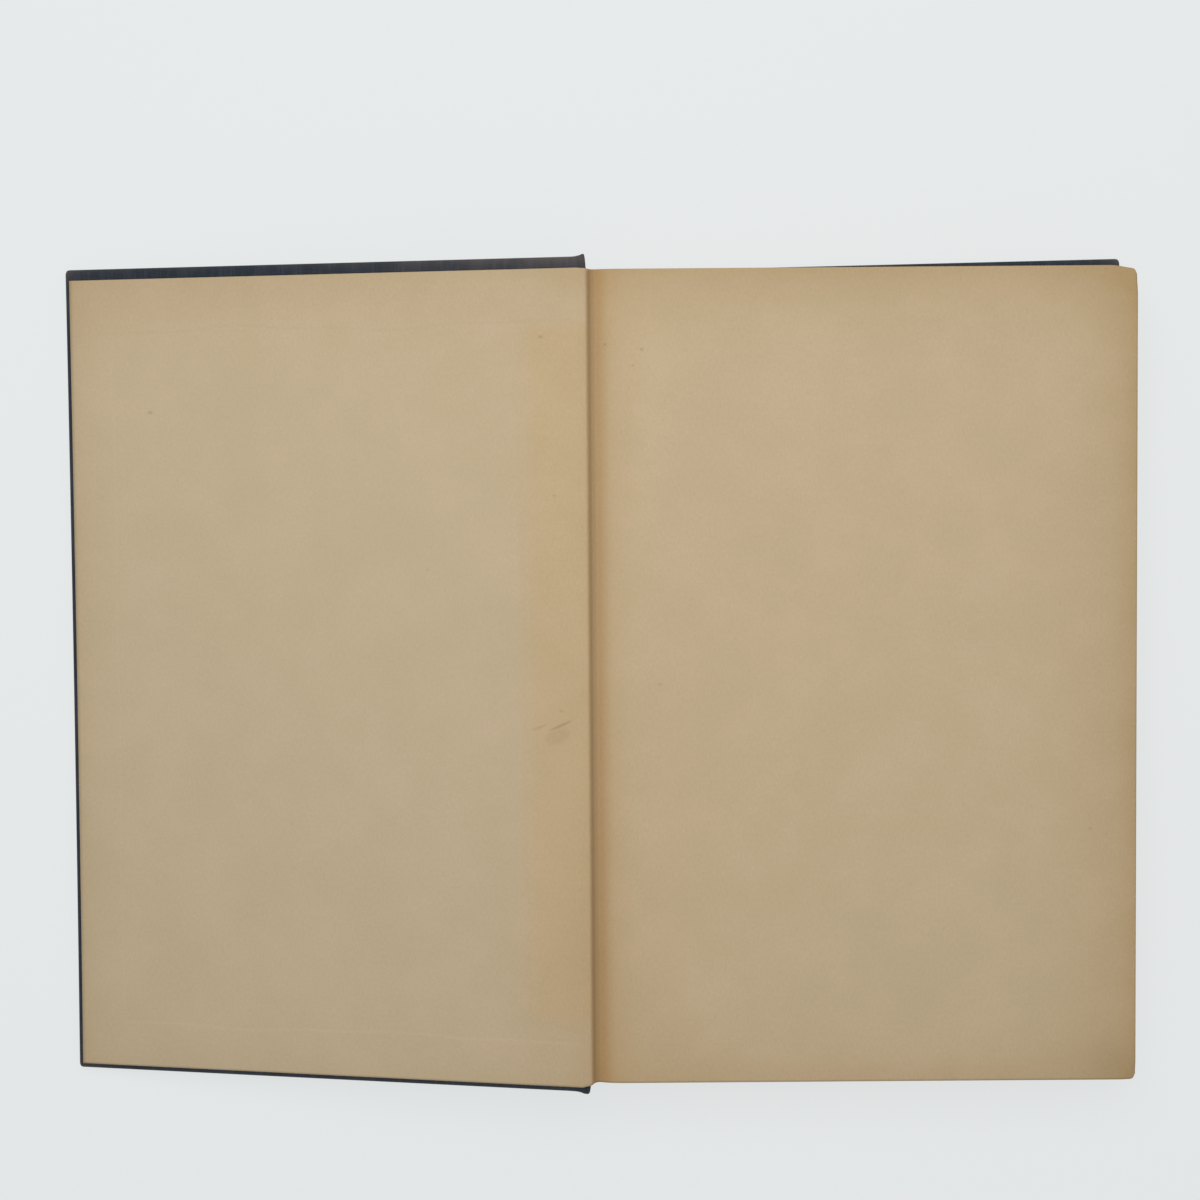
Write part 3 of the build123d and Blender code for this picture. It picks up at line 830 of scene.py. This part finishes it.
def build_case_half(name, body, place, low, high, caps, strip):
    """The book cloth round one board, and its strip across the joint.

    caps holds how far the cloth stands past the board's tail and head, by distance from the
    hinge, and strip the distance, height and half thickness of the strip's sections.
    """
    reach = high[0]
    tail_cap, head_cap = caps
    from_edge = np.concatenate((
        EDGE_STATIONS,
        spread((3 * MM, 15 * MM, 2 * MM)),
        spread((20 * MM, reach - 20 * MM, 7 * MM)),
        spread((reach - 16 * MM, reach - 6 * MM, 2 * MM)),
    ))
    stations = np.concatenate((reach - from_edge, JOINT_STATIONS))
    stations = stations[stations > WALL]
    loops = []
    places = []
    for u in stations:
        edge = rounded(reach - u, EDGE_ROUND)
        corner = rounded(reach - u, CASE_CORNER)
        spine_edge = rounded(u - WALL, 1.3 * MM)
        bottom = low[2] + max(edge, spine_edge)
        top = high[2] - max(edge, 0.5 * rounded(u - WALL, 0.8 * MM))
        radius = min(EDGE_ROUND, (top - bottom) * 0.48)
        sink = CLOTH_SINK * float(smooth(9 * MM, 12 * MM, reach - u))
        reach_low, reach_high = low[1] + corner - tail_cap(u), high[1] - corner + head_cap(u)
        loops.append(section_loop(reach_low, reach_high, bottom, top, radius, sink))
        places.append(u)
    strip_u, strip_w, strip_half = (np.array(column) * MM for column in zip(*strip))
    fine = spread((strip_u.min(), strip_u.max(), 0.12 * MM))[::-1]
    for u in fine:
        centre = float(np.interp(u, strip_u[::-1], strip_w[::-1]))
        half = float(np.interp(u, strip_u[::-1], strip_half[::-1]))
        reach_low, reach_high = low[1] - tail_cap(u), high[1] + head_cap(u)
        low_w, high_w = centre - half, centre + half
        loops.append(section_loop(reach_low, reach_high, low_w, high_w, half * STRIP_ROUND, 0.0))
        places.append(u)
    across = np.array(places)[:, None] + 0 * np.stack(loops)[..., 0]
    along, up = np.stack(loops)[..., 0], np.stack(loops)[..., 1]
    attributes = case_attributes(across, along, up, low, high)
    half_case = loft(name, place(across, along, up), attributes)
    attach(half_case, body)
    return wear(half_case, BOOK_CLOTH)


def case_attributes(across, along, up, low, high):
    """Where each point lies on the cloth, and how far the edges and corners are rubbed."""
    weave = np.stack((across - up, along + up, 0 * up), axis=-1).reshape(-1, 3)
    to_fore_edge = high[0] - across
    to_end = np.minimum(high[1] - along, along - low[1])
    edges = 0.16 * np.exp(-np.abs(to_end) / (0.9 * MM)) + 0.16 * np.exp(-to_fore_edge / (0.8 * MM))
    corners = 0.3 * np.exp(-(to_fore_edge + np.abs(to_end)) / (4 * MM))
    joint = 0.5 * smooth(100 * MM, 4 * MM, across) * np.exp(-np.abs(high[1] - along) / (4 * MM))
    return {"weave": weave, "rub": np.clip(edges + corners + joint, 0, 1).ravel()}


def front_case_place(across, along, up):
    """Points of the front case, its fore edge a little hollow in plan."""
    share = np.clip(along / BOARD_SIZE[1] * 2, -1, 1)
    bow = FORE_EDGE_BOW * (1 - share**2) * np.clip(across / CASE_HIGH[0], 0, 1) ** 2
    return (
        FRONT_HINGE
        + (across - bow)[..., None] * FRONT_OUT
        + along[..., None] * HEADWARD
        + up[..., None] * FRONT_UP
    )


def back_case_place(across, along, up):
    """Points of the back case, skewed as the back board is, and straight at the hinge."""
    turn = BACK_SKEW * smooth(0, BACK_JOINT, across)
    out = across - (BACK_MIDDLE[0] - BACK_HINGE[0])
    aside = along - (BACK_MIDDLE[1] - BACK_HINGE[1])
    x = BACK_MIDDLE[0] + out * np.cos(turn) - aside * np.sin(turn)
    y = BACK_MIDDLE[1] + out * np.sin(turn) + aside * np.cos(turn)
    return np.stack((x, y, BACK_HINGE[2] + up), axis=-1)


def curve(places, values):
    """A plain function through a few places and values, both in millimetres."""
    return lambda u: float(np.interp(u, np.array(places) * MM, np.array(values) * MM))


FRONT_CAPS = (
    curve(
        (1.3, 1.6, 1.8, 1.95, 2.25, 2.75, 3.3, 4.1, 5.2, 6.5),
        (-3.0, -2.4, -0.6, 0.2, 0.7, 0.85, 0.75, 0.35, 0.1, 0.0),
    ),
    curve(
        (1.3, 1.4, 1.52, 1.65, 1.8, 2.05, 2.5, 3.1, 3.6, 4.2, 5.0),
        (-3.6, -3.0, -1.5, -0.3, 0.5, 0.75, 0.65, 0.4, 0.25, 0.1, 0.0),
    ),
)
BACK_CAPS = (curve((0.0, 2.4, 4.3), (-2.4, -1.0, 0.0)), curve((0.0, 2.4, 4.3), (-2.4, -1.0, 0.0)))
FRONT_STRIP = (
    (3.25, -0.25, 0.2), (1.9, -0.23, 0.19), (1.6, -0.17, 0.16), (1.42, -0.155, 0.14),
    (1.34, -0.15, 0.12), (1.28, -0.15, 0.07), (1.27, -0.15, 0.02),
)
BACK_STRIP = (
    (3.25, -0.25, 0.2), (1.6, -0.25, 0.2), (1.2, -0.19, 0.18), (0.8, -0.1, 0.15),
    (0.4, -0.02, 0.125), (0.1, 0.0, 0.12), (0.0, 0.0, 0.12), (-0.06, 0.0, 0.1),
    (-0.1, 0.0, 0.06), (-0.12, 0.0, 0.01),
)


def build_front_joint():
    """The folded cloth of the front joint."""
    ends = np.linspace(CASE_LOW[1] + 3.0 * MM, CASE_HIGH[1] - 3.6 * MM, 40)
    corners = np.array(((-1.18, -0.28), (-1.30, -0.46), (-1.50, -0.70), (-1.36, -0.90))) * MM
    loops = np.stack([
        np.stack([FRONT_HINGE + np.array((x, end, z)) for x, z in corners]) for end in ends
    ])
    around = np.array((0.0, 0.22, 0.55, 0.8)) * MM
    weave = np.stack([
        np.stack((around, np.full(4, end), np.zeros(4)), axis=1) for end in ends
    ]).reshape(-1, 3)
    strap = loft("front_joint_cloth", loops, {"weave": weave, "rub": np.zeros(len(weave))})
    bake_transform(strap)
    return wear(strap, BOOK_CLOTH)


# The spine cloth in section: where its arc ends by the front hinge, how that end turns in to
# the folded joint cloth, and how the cloth turns round to the back hinge
SPINE_END = MM * np.array((-1.67, -1.0))
FRONT_CORNER = MM * np.array(((-1.52, -0.82), (-1.60, -0.91)))
BACK_CORNER = MM * np.array(((0.0, 0.0), (-0.18, -0.42), (-0.62, -0.80), (-1.2, -0.90)))


def build_spine_cloth():
    """The cloth over the spine strip, between the two hinge lines."""
    node_low, node_high = (np.array(corner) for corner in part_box("spine_cloth"))
    middle = (FRONT_HINGE + BACK_HINGE) / 2
    half_height = FRONT_HINGE[2] + SPINE_END[1] - middle[2]
    depth = (FRONT_HINGE[0] + SPINE_END[0]) - (node_low[0] + CLOTH / 2)
    radius = (half_height**2 + depth**2) / (2 * depth)
    half_angle = math.asin(half_height / radius)
    centre_x = node_low[0] + CLOTH / 2 + radius
    angles = np.linspace(half_angle, -half_angle, 40)
    arc = np.stack((centre_x - radius * np.cos(angles), middle[2] + radius * np.sin(angles)), axis=1)
    corner = through(BACK_CORNER, 0.12 * MM)
    front_corner = FRONT_CORNER + FRONT_HINGE[[0, 2]]
    back_corner = (corner * (1, -1) + BACK_HINGE[[0, 2]])[::-1]
    path = np.concatenate((front_corner, arc, back_corner))
    run = np.gradient(path, axis=0)
    run /= np.linalg.norm(run, axis=1, keepdims=True)
    side = np.stack((run[:, 1], -run[:, 0]), axis=1)
    lengths = np.concatenate(([0], np.cumsum(np.linalg.norm(np.diff(path, axis=0), axis=1))))
    to_hinge = np.minimum(lengths, lengths[-1] - lengths)
    halves = HINGE_ROUND + (CLOTH / 2 - HINGE_ROUND) * smooth(0.3 * MM, 1.2 * MM, to_hinge)
    low_y = node_low[1] + 2.2 * MM * smooth(3 * MM, 0, to_hinge)
    high_y = node_high[1] - 3.2 * MM * smooth(3 * MM, 0, to_hinge)
    loops = []
    weave = []
    for point, normal, half, low, high, length in zip(path, side, halves, low_y, high_y, lengths):
        loop = section_loop(low, high, -half, half, half * STRIP_ROUND, 0.0)
        place = point + loop[:, 1:] * normal
        loops.append(np.stack((place[:, 0], loop[:, 0], place[:, 1]), axis=1))
        flat = 0 * loop[:, 0]
        weave.append(np.stack((length + flat, loop[:, 0] + loop[:, 1], flat), axis=1))
    loops = np.stack(loops)
    to_end = np.minimum(node_high[1] - loops[..., 1], loops[..., 1] - node_low[1])
    ridges = np.abs(np.sin(lengths / (7 * MM)))[:, None]
    rub = 0.5 * np.exp(-np.abs(to_end) / (1.6 * MM)) + 0.12 * ridges
    attributes = {"weave": np.concatenate(weave), "rub": np.clip(rub, 0, 1).ravel()}
    spine = loft("spine_cover", loops, attributes)
    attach(spine, "text_block")
    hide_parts("spine_cloth")
    return wear(spine, BOOK_CLOTH)


build_front_endpaper()
build_back_endpaper()
build_front_gauze()
build_leaves()
front_case = build_case_half(
    "front_case", "front_cover", front_case_place, CASE_LOW, CASE_HIGH, FRONT_CAPS, FRONT_STRIP
)
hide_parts("front_cover_cloth")
back_reach = BACK_JOINT + BOARD_SIZE[0] + CLOTH
back_case_low = np.array((0, BACK_SHIFT - BOARD_SIZE[1] / 2 - CLOTH, CASE_LOW[2]))
back_case_high = np.array((back_reach, BACK_SHIFT + BOARD_SIZE[1] / 2 + CLOTH, CASE_HIGH[2]))
back_case = build_case_half(
    "back_case", "back_cover", back_case_place, back_case_low, back_case_high, BACK_CAPS, BACK_STRIP
)
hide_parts("back_cover_cloth")
build_spine_cloth()
build_front_joint()

for node in ("front_board", "back_board", "spine_inlay"):
    wear(frame["nodes"][node], BOARD)
for node in ("spine_lining", "back_lining_flange"):
    wear(frame["nodes"][node], GAUZE)


# --------------------------------------------------------------- floor, light and the camera

FLOOR_COLOUR = rgb(229, 232, 232)
FLOOR_GLOW = 0.86
FLOOR_DULL = 0.15
WORLD_STRENGTH = 0.45
KEY_PLACE = (-0.05, 0.3, 0.66)
KEY_POWER = 3.28
FILL_PLACE = (0.48, 0.6, 0.69)
FILL_POWER = 0.44
LAMP_SIZE = 0.45


def floor_material():
    """A pale light table: partly lit from within, so that shadows on it stay faint."""
    paint = Paint("pale_floor")
    paint.shader.inputs["Emission Color"].default_value = FLOOR_COLOUR
    paint.shader.inputs["Emission Strength"].default_value = FLOOR_GLOW
    reflected = tuple(c * FLOOR_DULL for c in FLOOR_COLOUR[:3]) + (1.0,)
    return paint.finish(reflected, 0.95, specular=0.0)


bpy.ops.mesh.primitive_plane_add(size=20, location=(0, 0, 0))
floor = bpy.context.object
floor.name = "floor"
floor.data.materials.append(floor_material())

world = bpy.data.worlds.new("studio")
world.use_nodes = True
world.node_tree.nodes["Background"].inputs["Color"].default_value = (1.0, 1.0, 1.0, 1.0)
world.node_tree.nodes["Background"].inputs["Strength"].default_value = WORLD_STRENGTH
bpy.context.scene.world = world


def area_light(name, location, power):
    """A soft square light at a place, turned to face the origin."""
    lamp = bpy.data.lights.new(name, "AREA")
    lamp.size = LAMP_SIZE
    lamp.energy = power
    made = bpy.data.objects.new(name, lamp)
    bpy.context.scene.collection.objects.link(made)
    made.location = location
    made.rotation_euler = (-Vector(location)).to_track_quat("-Z", "Y").to_euler()
    return made


key = area_light("key", KEY_PLACE, KEY_POWER)
fill = area_light("fill", FILL_PLACE, FILL_POWER)

camera_data = bpy.data.cameras.new("camera")
camera = bpy.data.objects.new("camera", camera_data)
bpy.context.scene.collection.objects.link(camera)
camera_data.lens = 52.46
camera_data.sensor_width = 36
camera_data.shift_y = -0.056
camera.location = (FRONT_HINGE[0] + 2.24 * MM, PAGE_MIDDLE_Y + 58.3 * MM, 0.5126)
camera.rotation_mode = "ZYX"
camera.rotation_euler = (-0.0354, 0.0003, -0.0075)
bpy.context.scene.camera = camera
bpy.context.scene.view_settings.view_transform = "Standard"
